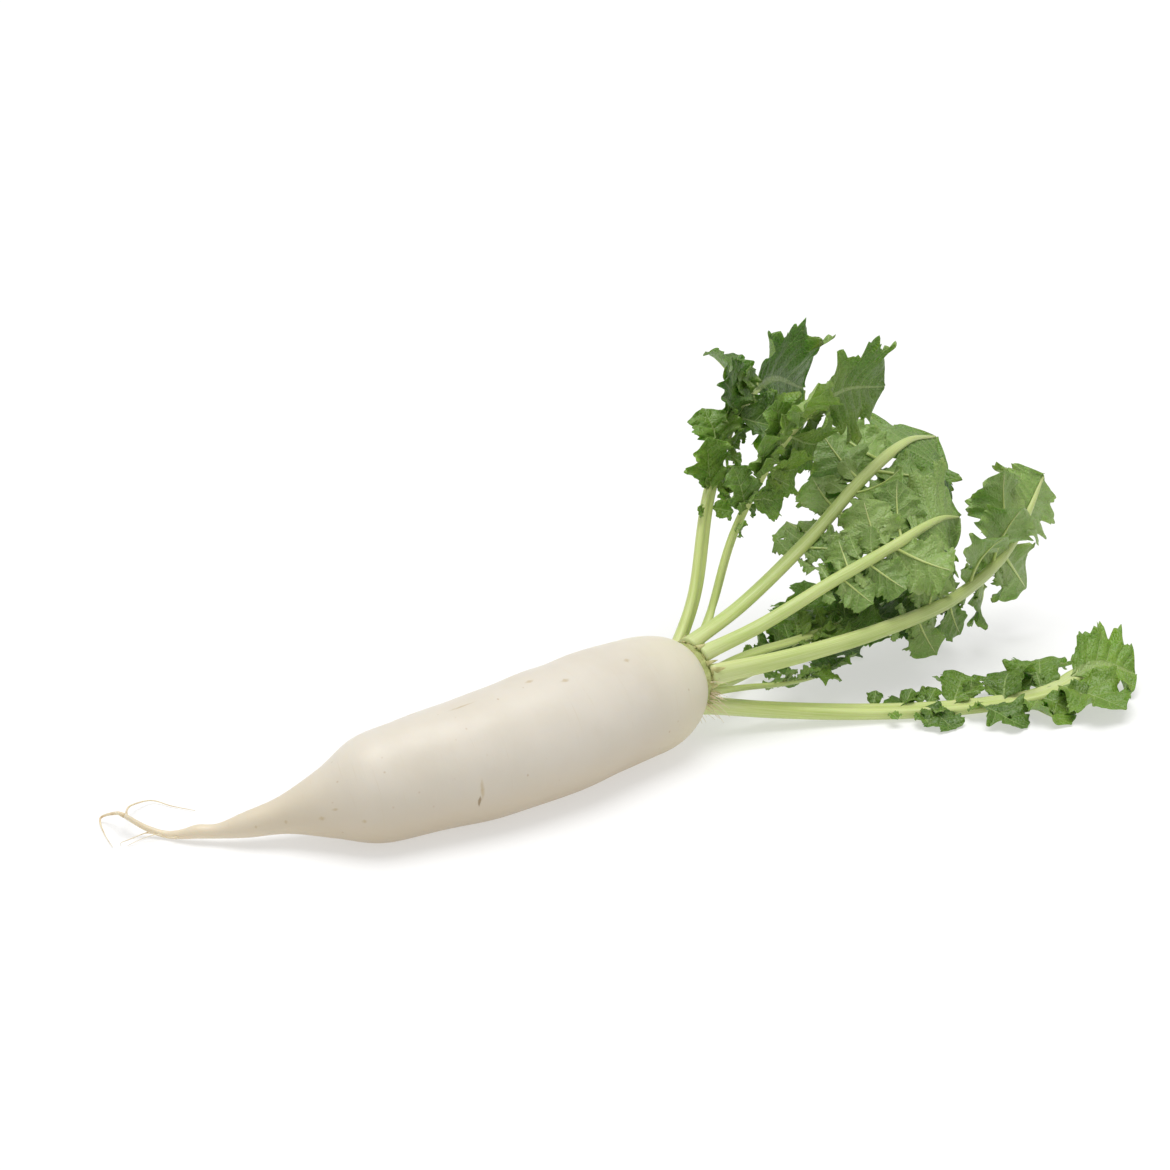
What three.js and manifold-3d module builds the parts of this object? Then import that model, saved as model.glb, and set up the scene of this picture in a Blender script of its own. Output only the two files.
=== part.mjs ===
// Daikon radish: one long white root lying on its side, its crown, and the nine leaves that grow from it.
// Millimetres, +Z up. +X runs along the root from its tail to its leaves. The origin is on the small flat
// under the widest part of the root, which is the spot that the radish rests on.

import * as THREE from "three";
import { mergeVertices } from "three/addons/utils/BufferGeometryUtils.js";
import Module from "manifold-3d";

const wasm = await Module();
wasm.setup();

// Root: its middle line and radius from the tip of the tail to the shoulder
const ROOT_LINE = [
  { at: [-213, 92, 12], radius: 1.3 },
  { at: [-205, 84, 5.5], radius: 1.6 },
  { at: [-198, 76, 2.6], radius: 2 },
  { at: [-193, 68, 4.2], radius: 2.6 },
  { at: [-187, 61, 6.6], radius: 3.8 },
  { at: [-179, 53, 7.6], radius: 4.1 },
  { at: [-168, 43, 11.6], radius: 6.9 },
  { at: [-151, 32, 16.5], radius: 10.4 },
  { at: [-133, 20, 21.8], radius: 18.6 },
  { at: [-116, 8, 28.6], radius: 28.3 },
  { at: [-90, 3, 30.9], radius: 31.6 },
  { at: [-46, -4, 33.7], radius: 34.4 },
  { at: [0, -4, 35.3], radius: 36 },
  { at: [36, 1, 34.8], radius: 35.5 },
  { at: [64, 4, 34], radius: 34.3 },
];
const ROOT_END = [108, 4, 37.5];
const DOME_POWER = 2.3;
const ROOT_SIDES = 26;
const ROOT_RINGS = 24;
const DOME_RINGS = 8;
const RING_REACH = 0.1; // share of the line, either way, that sets which way a ring faces

// Crown: the squat green cap that the stalks stand on
const CROWN_BACK = [96, 4, 37];
const CROWN_FRONT = [112, 4, 38];
const CROWN_RADIUS = 21;
const CROWN_POWER = 3;
const CROWN_SIDES = 20;
const CROWN_RINGS = 4;

const TOUCH_GAP = 0.3; // between two pieces that grow from each other

// Stalks: most stand in the outer ring, and the two youngest leaves in the inner one
const OUTER_RING = 16;
const INNER_RING = 5;
const STALK_START = 5; // how far inside the crown's front a stalk's line begins
const STALK_SIDES = 7;
const STALK_RINGS = 12;
const STALK_DEPTH = 0.85; // below its line, as a share of its half width
const STALK_CHANNEL = 0.65; // how much of that depth is left above its line
const STALK_FLARE = 0.18;
const FLARE_REACH = 0.05;
const STALK_TAPER = 0.45;
const MIDRIB_TAPER = 0.75;
const MIDRIB_END = 0.6; // share of the end blade that the solid midrib runs under

// Blades
const BLADE_THICKNESS = 1;
const LOWEST_BLADE = 0.7; // middle of a blade that lies on the table
const SETTLE_ROUND = 3; // how softly a blade turns level as it reaches the table
const LEAFLET_TEETH = 3;
const END_TEETH = 5;
const TOOTH_SIZE = [0.1, 0.2];
const NARROWEST = 0.2; // least share of a blade's width, at its base and tip
const WAVES = 1.6;
const LEAFLET_WAVE = 0.28;
const END_WAVE = 0.18;
const END_FOLD = [0.12, 0.37];
const SMALLEST_LEAFLET = 0.6; // the leaflet nearest the crown, as a share of the one nearest the tip
const PAIR_STAGGER = 0.22;

// How leaflets differ, each between two limits. Angles are in radians
const LEAFLET_RANGES = {
  shift: [-0.15, 0.15], // along the stalk, as a share of the room between two pairs
  size: [0.95, 1.2],
  breadth: [0.4, 0.5], // half the width, as a share of the length
  sweep: [0.35, 0.7], // lean towards the leaf's tip
  lift: [-0.1, 0.45],
  curl: [-0.3, 1.1],
  roll: [-0.5, 0.5],
  fold: [0.1, 0.4], // steepness of the fold along the rib
};

// Each leaf: where its stalk stands round the crown in degrees, the points that its midrib passes, which way
// its upper side faces at the tip, the stalk's width, where its leaflets and its end blade begin, how many
// pairs of leaflets it has, how long they are, half the width of the end blade, and the seed of its draws
const LEAVES = [
  {
    name: "leaf_1",
    angle: -108,
    ring: OUTER_RING,
    path: [[152, -19, 12.5], [202, -45, 6.3], [250, -73, 5.4], [298, -91, 6.6], [334, -100, 18], [358, -110, 9]],
    tipFace: [-0.2, -0.5, 0.8],
    width: 15,
    first: 0.36,
    tip: 0.75,
    pairs: 4,
    leaflet: 42,
    blade: 26,
    seed: 1,
  },
  {
    name: "leaf_2",
    angle: 165,
    ring: OUTER_RING,
    path: [[165, -22, 43], [222, -31, 47], [282, -28, 50], [336, -15, 58], [376, 0, 74], [402, 10, 94]],
    tipFace: [0.3, 0.9, 0.1],
    width: 11,
    first: 0.38,
    tip: 0.78,
    pairs: 4,
    leaflet: 46,
    blade: 31,
    seed: 25,
  },
  {
    name: "leaf_3",
    angle: 118,
    ring: OUTER_RING,
    path: [[150, -7, 61], [195, -16, 79], [240, -19, 91], [282, -14, 97], [314, -3, 89]],
    tipFace: [0.6, 0.7, -0.35],
    width: 9,
    first: 0.4,
    tip: 0.68,
    pairs: 3,
    leaflet: 38,
    blade: 32,
    seed: 3,
  },
  {
    name: "leaf_4",
    angle: 75,
    ring: OUTER_RING,
    path: [[154, 14, 66], [212, 22, 90], [268, 36, 112], [318, 50, 122], [360, 64, 114]],
    tipFace: [0.6, 0.5, -0.6],
    width: 11,
    first: 0.36,
    tip: 0.72,
    pairs: 4,
    leaflet: 46,
    blade: 35,
    seed: 21,
  },
  {
    name: "leaf_5",
    angle: -158,
    ring: OUTER_RING,
    path: [[140, -7, 25], [170, -6, 19], [200, -4, 16], [228, 2, 17]],
    tipFace: [0, 0.2, 1],
    width: 5,
    first: 0.42,
    tip: 0.7,
    pairs: 3,
    leaflet: 18,
    blade: 14,
    seed: 5,
  },
  {
    name: "leaf_6",
    angle: 28,
    ring: OUTER_RING,
    path: [[135, 34, 72], [168, 61, 117], [212, 90, 148], [262, 114, 158], [306, 130, 140]],
    tipFace: [-0.5, -0.8, 0.3],
    width: 11,
    first: 0.38,
    tip: 0.72,
    pairs: 4,
    leaflet: 46,
    blade: 35,
    seed: 6,
  },
  {
    name: "leaf_7",
    angle: -38,
    ring: OUTER_RING,
    path: [[148, 28, 14], [198, 46, 6.5], [248, 62, 4.5], [298, 76, 6.5], [336, 86, 17]],
    tipFace: [-0.3, -0.5, 0.8],
    width: 10,
    first: 0.38,
    tip: 0.72,
    pairs: 4,
    leaflet: 40,
    blade: 32,
    seed: 7,
  },
  {
    name: "leaf_8",
    angle: 60,
    ring: INNER_RING,
    path: [[138, 24, 60], [166, 35, 103], [206, 40, 146], [252, 44, 168], [296, 48, 163]],
    tipFace: [-0.3, -0.9, 0],
    width: 8,
    first: 0.42,
    tip: 0.72,
    pairs: 4,
    leaflet: 40,
    blade: 31,
    seed: 8,
  },
  {
    name: "leaf_9",
    angle: -90,
    ring: INNER_RING,
    path: [[148, 6, 38], [195, 7, 37], [245, 11, 36], [292, 19, 36], [330, 30, 32]],
    tipFace: [-0.4, -0.6, 0.7],
    width: 7,
    first: 0.38,
    tip: 0.7,
    pairs: 4,
    leaflet: 38,
    blade: 28,
    seed: 9,
  },
];

// Colours
const finish = (color, roughness) => new THREE.MeshStandardMaterial({ color, roughness, metalness: 0 });
const ROOT_SKIN = finish(0xe9e3d3, 0.5);
const CROWN_SKIN = finish(0xb9c47c, 0.6);
const LEAF_GREEN = finish(0x6f9a45, 0.6);

// Curves and draws
const vector = (p) => new THREE.Vector3(p[0], p[1], p[2]);
const curve = (points) => new THREE.CatmullRomCurve3(points.map(vector), false, "catmullrom", 0.5);

// A repeatable draw between two limits
function draw(seed, k, [low, high]) {
  const x = Math.sin(seed * 127.1 + k * 311.7) * 43758.5453;
  return low + (high - low) * (x - Math.floor(x));
}

// A closed geometry as a solid: its doubled corners are joined, and triangles with no area are dropped
function solid(geometry) {
  geometry.deleteAttribute("normal");
  geometry.deleteAttribute("uv");
  const joined = mergeVertices(geometry, 1e-4);
  const corners = joined.index.array;
  const triangles = [];
  for (let i = 0; i < corners.length; i += 3) {
    const [a, b, c] = [corners[i], corners[i + 1], corners[i + 2]];
    if (a !== b && b !== c && c !== a) {
      triangles.push(a, b, c);
    }
  }
  const vertProperties = joined.attributes.position.array;
  const triVerts = Uint32Array.from(triangles);
  return new wasm.Manifold(new wasm.Mesh({ numProp: 3, vertProperties, triVerts }));
}

function meshOf(body, name, material) {
  const { vertProperties, triVerts } = body.getMesh();
  const geometry = new THREE.BufferGeometry();
  geometry.setAttribute("position", new THREE.BufferAttribute(vertProperties, 3));
  geometry.setIndex(new THREE.BufferAttribute(triVerts, 1));
  geometry.computeVertexNormals();
  const mesh = new THREE.Mesh(geometry, material);
  mesh.name = name;
  return mesh;
}

// A lathe turned from a list of stations, then bent so that each ring lies round its own station's centre
function bentLathe(stations, sides) {
  const profile = stations.map(({ radius }, i) => new THREE.Vector2(radius, i));
  const geometry = new THREE.LatheGeometry(profile, sides);
  const position = geometry.attributes.position;
  for (let i = 0; i < position.count; i++) {
    const station = stations[Math.round(position.getY(i))];
    const corner = station.place(position.getX(i), position.getZ(i));
    position.setXYZ(i, corner.x, corner.y, corner.z);
  }
  return geometry;
}

// Root and crown
function ringAt(centre, along, radius) {
  const side = new THREE.Vector3().crossVectors(along, vector([0, 0, 1])).normalize();
  const up = new THREE.Vector3().crossVectors(side, along).normalize();
  const place = (x, z) => centre.clone().addScaledVector(side, x).addScaledVector(up, z);
  return { radius, place };
}

// A dome of superellipse outline from one centre to another, closed on the axis at its end
function domeStations(from, to, radius, power, rings) {
  const along = to.clone().sub(from);
  const stations = [];
  for (let i = 1; i <= rings; i++) {
    const turn = (Math.PI / 2) * (i / rings);
    const reach = Math.sin(turn) ** (2 / power);
    const shrink = i < rings ? Math.cos(turn) ** (2 / power) : 0;
    stations.push(ringAt(from.clone().addScaledVector(along, reach), along, radius * shrink));
  }
  return stations;
}

function rootSolid(grow) {
  const line = curve(ROOT_LINE.map(({ at }) => at));
  const radii = curve(ROOT_LINE.map(({ radius }, i) => [i, radius, 0]));
  const stations = [];
  for (let i = 0; i <= ROOT_RINGS; i++) {
    const t = i / ROOT_RINGS;
    const behind = line.getPoint(Math.max(0, t - RING_REACH));
    const along = line.getPoint(Math.min(1, t + RING_REACH)).sub(behind);
    stations.push(ringAt(line.getPoint(t), along, radii.getPoint(t).y + grow));
  }
  stations.unshift({ radius: 0, place: stations[0].place });
  const shoulder = vector(ROOT_LINE.at(-1).at);
  const end = vector(ROOT_END);
  end.x += grow;
  stations.push(...domeStations(shoulder, end, ROOT_LINE.at(-1).radius + grow, DOME_POWER, DOME_RINGS));
  return solid(bentLathe(stations, ROOT_SIDES));
}

function crownSolid(grow) {
  const back = vector(CROWN_BACK);
  const front = vector(CROWN_FRONT);
  front.x += grow;
  const along = front.clone().sub(back);
  const stations = [ringAt(back, along, 0), ringAt(back, along, CROWN_RADIUS + grow)];
  stations.push(...domeStations(back, front, CROWN_RADIUS + grow, CROWN_POWER, CROWN_RINGS));
  return solid(bentLathe(stations, CROWN_SIDES));
}

// The table's side of the root is cut level, which leaves the flat that it rests on
function underTable() {
  const slab = new THREE.BoxGeometry(600, 300, 20);
  slab.translate(0, 0, -10);
  return solid(slab);
}

// Leaf stalk: where its middle line is, how wide it is there, and which way its upper side faces
function stalkOf(leaf) {
  const turn = THREE.MathUtils.degToRad(leaf.angle);
  const outward = vector([0, Math.cos(turn), Math.sin(turn)]);
  const inside = vector(CROWN_FRONT).addScaledVector(outward, leaf.ring);
  inside.x -= STALK_START;
  const line = curve([inside.toArray(), ...leaf.path]);
  const baseFace = outward.clone().negate();
  const tipFace = vector(leaf.tipFace).normalize();
  const frame = (t) => {
    const point = line.getPoint(t);
    const along = line.getTangent(t);
    const face = baseFace.clone().lerp(tipFace, t);
    face.addScaledVector(along, -face.dot(along)).normalize();
    const across = new THREE.Vector3().crossVectors(along, face);
    return { point, along, face, across };
  };
  const halfWidth = (t) => {
    const flare = 1 + STALK_FLARE * Math.exp(-t / FLARE_REACH);
    const fade = 1 - MIDRIB_TAPER * Math.max(0, (t - leaf.tip) / (1 - leaf.tip));
    return (leaf.width / 2) * (1 - STALK_TAPER * t) * flare * fade;
  };
  return { frame, halfWidth };
}

function stalkSolid(leaf, stalk) {
  const end = leaf.tip + (1 - leaf.tip) * MIDRIB_END;
  const stations = [];
  for (let i = 0; i <= STALK_RINGS; i++) {
    const t = (end * i) / STALK_RINGS;
    const { point, face, across } = stalk.frame(t);
    const half = stalk.halfWidth(t);
    const place = (x, z) => {
      const depth = half * STALK_DEPTH * (z > 0 ? STALK_CHANNEL : 1);
      return point.clone().addScaledVector(across, x * half).addScaledVector(face, z * depth);
    };
    stations.push({ radius: 1, place });
  }
  stations.unshift({ radius: 0, place: stations[0].place });
  stations.push({ radius: 0, place: stations.at(-1).place });
  return solid(bentLathe(stations, STALK_SIDES));
}

// A thin blade with the same triangles on both faces. place(s, c) gives its middle and the way to its upper
// face, for s from its base to its tip and c from -1 at one edge to 1 at the other
function bladeSolid(teeth, strips, place) {
  const rows = 2 * teeth;
  const wide = strips + 1;
  const count = (rows + 1) * wide;
  const corners = [];
  for (const side of [0.5, -0.5]) {
    for (let i = 0; i <= rows; i++) {
      for (let j = 0; j <= strips; j++) {
        const { point, face } = place(i / rows, (2 * j) / strips - 1);
        corners.push(...point.clone().addScaledVector(face, side * BLADE_THICKNESS).toArray());
      }
    }
  }
  const triangles = [];
  const edge = [];
  for (let i = 0; i < rows; i++) {
    for (let j = 0; j < strips; j++) {
      const a = i * wide + j;
      const [b, c, d] = [a + 1, a + wide + 1, a + wide];
      triangles.push(a, b, c, a, c, d);
      triangles.push(a + count, c + count, b + count, a + count, d + count, c + count);
    }
  }
  for (let j = 0; j < strips; j++) {
    edge.push([j, j + 1]);
    edge.push([count - 1 - j, count - 2 - j]);
  }
  for (let i = 0; i < rows; i++) {
    edge.push([i * wide + strips, (i + 1) * wide + strips]);
    edge.push([(i + 1) * wide, i * wide]);
  }
  for (const [a, b] of edge) {
    triangles.push(a, a + count, b, b, a + count, b + count);
  }
  const geometry = new THREE.BufferGeometry();
  geometry.setAttribute("position", new THREE.Float32BufferAttribute(corners, 3));
  geometry.setIndex(triangles);
  return solid(geometry);
}

// A blade's half width from base to tip, as a share of its widest
function outline(s) {
  return Math.max(NARROWEST, Math.sin(Math.PI * s ** 1.25) ** 0.7);
}

// How far a tooth stands out of the outline, or a notch goes in, each tooth with its own size
function tooth(s, teeth, seed, c) {
  const place = s * teeth;
  const number = Math.floor(place);
  const size = draw(seed, number + (c > 0 ? 40 : 60), TOOTH_SIZE);
  return size * (1 - 4 * Math.abs(place - number - 0.5));
}

// The wave along each edge, which dies out towards the rib
function wave(s, c, seed) {
  const phase = draw(seed, c > 0 ? 21 : 22, [0, 1]);
  return c * c * Math.sin(2 * Math.PI * (WAVES * s + phase));
}

// A blade low enough to touch the table lies along it
function settle(point) {
  const above = point.z - LOWEST_BLADE;
  point.z = LOWEST_BLADE + (above + Math.hypot(above, SETTLE_ROUND)) / 2;
  return point;
}

// A leaflet grows from inside the stalk, leans towards the tip, and curls along an arc
function leafletSolid(leaf, stalk, pair, side) {
  const seed = leaf.seed + 0.37 * (pair + 1) + (side > 0 ? 0.11 : 0);
  const drawn = Object.entries(LEAFLET_RANGES).map(([name, range], k) => [name, draw(seed, k + 1, range)]);
  const { shift, size, breadth, sweep, lift, curl, roll, fold } = Object.fromEntries(drawn);
  const reach = (pair + 0.5 + PAIR_STAGGER * side + shift) / leaf.pairs;
  const t = leaf.first + (leaf.tip - 0.01 - leaf.first) * reach;
  const { point, along, face, across } = stalk.frame(t);
  const length = leaf.leaflet * (SMALLEST_LEAFLET + (1 - SMALLEST_LEAFLET) * reach) * size;

  const flat = across.clone().multiplyScalar(side * Math.cos(sweep)).addScaledVector(along, Math.sin(sweep));
  const ahead = flat.clone().multiplyScalar(Math.cos(lift)).addScaledVector(face, Math.sin(lift));
  const level = face.clone().multiplyScalar(Math.cos(lift)).addScaledVector(flat, -Math.sin(lift));
  const up = level.clone().applyAxisAngle(ahead, roll);
  const beside = new THREE.Vector3().crossVectors(ahead, up);
  const start = point.clone().addScaledVector(face, 0.15 * stalk.halfWidth(t));
  return bladeSolid(LEAFLET_TEETH, 2, (s, c) => {
    const bend = curl * s;
    const forward = (length * Math.sin(bend)) / curl;
    const fall = (length * (1 - Math.cos(bend))) / curl;
    const normal = up.clone().multiplyScalar(Math.cos(bend)).addScaledVector(ahead, Math.sin(bend));
    const half = length * breadth * outline(s);
    const middle = start.clone().addScaledVector(ahead, forward).addScaledVector(up, -fall);
    middle.addScaledVector(beside, half * c * (1 + tooth(s, LEAFLET_TEETH, seed, c)));
    middle.addScaledVector(normal, half * (fold * Math.abs(c) + LEAFLET_WAVE * wave(s, c, seed)));
    return { point: settle(middle), face: normal };
  });
}

// The end blade follows the midrib to the leaf's tip
function endBladeSolid(leaf, stalk) {
  const seed = leaf.seed + 0.77;
  const fold = draw(seed, 8, END_FOLD);
  return bladeSolid(END_TEETH, 4, (s, c) => {
    const t = leaf.tip + (1 - leaf.tip) * s;
    const { point, face, across } = stalk.frame(t);
    const half = leaf.blade * outline(s);
    const rise = half * (fold * Math.abs(c) + END_WAVE * wave(s, c, seed)) + 0.2 * stalk.halfWidth(t);
    const out = half * c * (1 + Math.abs(c) * tooth(s, END_TEETH, seed, c));
    return { point: settle(point.clone().addScaledVector(across, out).addScaledVector(face, rise)), face };
  });
}

function leafSolid(leaf) {
  const stalk = stalkOf(leaf);
  let whole = stalkSolid(leaf, stalk).add(endBladeSolid(leaf, stalk));
  for (let pair = 0; pair < leaf.pairs; pair++) {
    for (const side of [-1, 1]) {
      whole = whole.add(leafletSolid(leaf, stalk, pair, side));
    }
  }
  return whole;
}

// The whole radish
const radish = new THREE.Group();
const root = rootSolid(0).subtract(underTable());
const roomForRoot = rootSolid(TOUCH_GAP);
const crown = crownSolid(0).subtract(roomForRoot);
const roomForCrown = crownSolid(TOUCH_GAP).add(roomForRoot);
radish.add(meshOf(root, "taproot", ROOT_SKIN));
radish.add(meshOf(crown, "crown", CROWN_SKIN));
for (const leaf of LEAVES) {
  radish.add(meshOf(leafSolid(leaf).subtract(roomForCrown), leaf.name, LEAF_GREEN));
}

export default radish;
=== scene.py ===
"""The looks of the daikon radish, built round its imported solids.

The root, the crown and each leaf are remade here as fine meshes by the same rules and named values as the
solids, so each lies where its solid is. Rules work in millimetres, and meshes are made in metres."""

import math

import bpy
import numpy as np
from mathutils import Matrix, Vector


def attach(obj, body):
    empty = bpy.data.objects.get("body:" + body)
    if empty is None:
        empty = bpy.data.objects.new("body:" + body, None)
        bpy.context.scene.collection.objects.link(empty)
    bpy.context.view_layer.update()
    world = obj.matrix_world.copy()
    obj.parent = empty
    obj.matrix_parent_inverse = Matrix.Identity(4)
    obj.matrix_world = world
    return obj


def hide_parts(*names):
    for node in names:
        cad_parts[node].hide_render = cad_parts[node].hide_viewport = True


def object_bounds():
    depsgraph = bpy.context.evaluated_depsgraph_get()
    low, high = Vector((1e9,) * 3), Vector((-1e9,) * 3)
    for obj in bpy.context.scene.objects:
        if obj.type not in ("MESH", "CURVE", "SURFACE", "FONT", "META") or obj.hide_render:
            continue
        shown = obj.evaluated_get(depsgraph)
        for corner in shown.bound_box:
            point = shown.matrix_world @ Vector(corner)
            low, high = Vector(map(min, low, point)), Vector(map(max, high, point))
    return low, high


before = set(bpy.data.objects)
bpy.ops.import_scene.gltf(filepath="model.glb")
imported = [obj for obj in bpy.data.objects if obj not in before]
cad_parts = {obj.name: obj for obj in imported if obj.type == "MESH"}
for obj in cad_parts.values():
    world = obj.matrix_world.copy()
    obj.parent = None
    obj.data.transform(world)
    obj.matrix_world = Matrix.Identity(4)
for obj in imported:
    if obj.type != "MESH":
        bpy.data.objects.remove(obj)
SOLID_BOX = [[float(x) for x in corner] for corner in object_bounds()]
MM = 0.001

# Root: its middle line and radius from the tip of the tail to the shoulder
ROOT_LINE = [
    ((-213, 92, 12), 1.3),
    ((-205, 84, 5.5), 1.6),
    ((-198, 76, 2.6), 2),
    ((-193, 68, 4.2), 2.6),
    ((-187, 61, 6.6), 3.8),
    ((-179, 53, 7.6), 4.1),
    ((-168, 43, 11.6), 6.9),
    ((-151, 32, 16.5), 10.4),
    ((-133, 20, 21.8), 18.6),
    ((-116, 8, 28.6), 28.3),
    ((-90, 3, 30.9), 31.6),
    ((-46, -4, 33.7), 34.4),
    ((0, -4, 35.3), 36),
    ((36, 1, 34.8), 35.5),
    ((64, 4, 34), 34.3),
]
ROOT_END = np.array([108.0, 4.0, 37.5])
DOME_POWER = 2.3  # 2 would make the shoulder an ellipsoid, and more makes it blunter
RING_REACH = 0.1  # how far to either side a ring looks for the way that it faces, as a share of the line
ROOT_SIDES = 160
ROOT_RINGS = 300
DOME_RINGS = 46
DOME_TURN = 0.6  # share of the dome over which its rings turn to face the crown
LUMP_HEIGHT = 0.45
LUMP_LENGTHS = (26, 15)
RING_HEIGHT = 0.09
RING_LENGTH = 30  # of the stretches that have rings
RELIEF_LIMIT = 0.25
RELIEF_INSET = 0.1
STOUT_RADIUS = 30  # of the root where its relief has its full height

# Crown
CROWN_BACK = np.array([96.0, 4.0, 37.0])
CROWN_FRONT = np.array([112.0, 4.0, 38.0])
CROWN_RADIUS = 21
CROWN_POWER = 3
CROWN_SIDES = 96
CROWN_RINGS = 40
CROWN_RIBS = 17
CROWN_RIB_HEIGHT = 0.35
CROWN_LUMP = 0.3
CROWN_INSET = 0.4

# Stalks
OUTER_RING = 16
INNER_RING = 5
STALK_START = 5
STALK_SIDES = 28
STALK_RINGS = 110
STALK_DEPTH = 0.85
STALK_CHANNEL = 0.65
STALK_GROOVE = 0.3
GROOVE_WIDTH = 0.45
STALK_RIDGES = 9
RIDGE_HEIGHT = 0.012
STALK_END = 0.96  # where a stalk ends under the end blade, as a share of the blade
RIB_SINK = 0.9  # how much of its upper side a stalk loses where it runs under the end blade
RIB_UNDER = 0.3
STALK_FLARE = 0.18
FLARE_REACH = 0.05
STALK_TAPER = 0.45
MIDRIB_TAPER = 0.75

# Blades. Ranges are what seeded draws lie in
BLADE_THICKNESS = 0.5
EDGE_THINNING = 0.55
LOWEST_BLADE = 0.7
SETTLE_ROUND = 3
LEAFLET_TEETH = 3
END_TEETH = 5
TOOTH_SIZE = (0.1, 0.2)
NARROWEST = 0.2
TIP_ROUND = 0.08
BASE_REACH = 0.12
WAVES = 1.6
LEAFLET_WAVE = 0.28
END_WAVE = 0.18
END_FOLD = (0.12, 0.37)
FOLD_ROUND = 0.004
FOLD_DROP = 0.06
SMALLEST_LEAFLET = 0.6
PAIR_STAGGER = 0.22
LEAFLET_RANGES = {
    "shift": (-0.15, 0.15),
    "size": (0.95, 1.2),
    "breadth": (0.4, 0.5),
    "sweep": (0.35, 0.7),
    "lift": (-0.1, 0.45),
    "curl": (-0.3, 1.1),
    "roll": (-0.5, 0.5),
    "fold": (0.1, 0.4),
}
LEAFLET_GRID = (72, 20)
LEAFLET_TONE = (0, 1)  # from the darkest green to the lightest
END_GRID = (120, 36)
SMALL_TEETH = 4  # to each large tooth
SMALL_TOOTH = (0.03, 0.1)
TOOTH_PEAK = 0.7  # how far along a small tooth its point is
RUFFLES = (4.3, 7.1)
RUFFLE = 0.1
END_LUMP = 2.5
LOBE_RANGES = {
    "shift": (-0.3, 0.3),
    "length": (12, 26),
    "sweep": (0.1, 0.7),
    "lift": (-0.2, 0.8),
    "breadth": (0.36, 0.5),
    "fall": (-0.2, 0.4),
}
LOBE_TONE = (0.3, 1)
LOBE_GRID = (22, 10)
LOBE_START = 0.8  # how far from the stalk's middle a lobe starts, as a share of the stalk's half width
LOBE_TEETH = 2
LOBE_FOLD = 0.3
LOBE_WAVE = 0.3
FULL_LEAFLET = 44  # a leaf with leaflets this long has lobes of full length
LEAFLET_VEINS = 5  # on each side of the rib
END_VEINS = 7
LOBE_VEINS = 3
LOBE_RIB = 0.5
VEIN_LEAN = 0.26  # how far towards the tip a side vein gets on its way to the edge, as a share of the blade
VEIN_STRAY = 0.3
FORK_START = 0.4  # where a side vein forks, from 0 at the rib to 1 at the edge
VEIN_SINK = 0.4
BULGE = 1.1
PUCKER = 0.6
RELIEF_WIDTH = 12  # half width of a blade on which the veins' relief has its full height

# Raised ribs under the leaflets
RIB_WIDTH = 0.055  # radius at the stalk, as a share of the leaflet's length and breadth
RIB_TAPER = 0.8
RIB_TIP = 0.07
RIB_END = 0.93
RIB_RINGS = 40
RIB_SET = 0.75  # how far below the blade's middle a rib's middle is, as a share of its radius

# Dry scales round the crown
SCALES = 26
SCALE_SEED = 31
SCALE_RANGES = {
    "stray": (-0.3, 0.3),
    "ring": (17.5, 20.5),
    "length": (4, 9),
    "depth": (6, 8),
    "lean": (0.0, 0.7),
    "half": (1.2, 2.6),
    "bend": (-1.5, 1.5),
}
SCALE_GRID = (10, 4)
SCALE_TIP = 0.12

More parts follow.
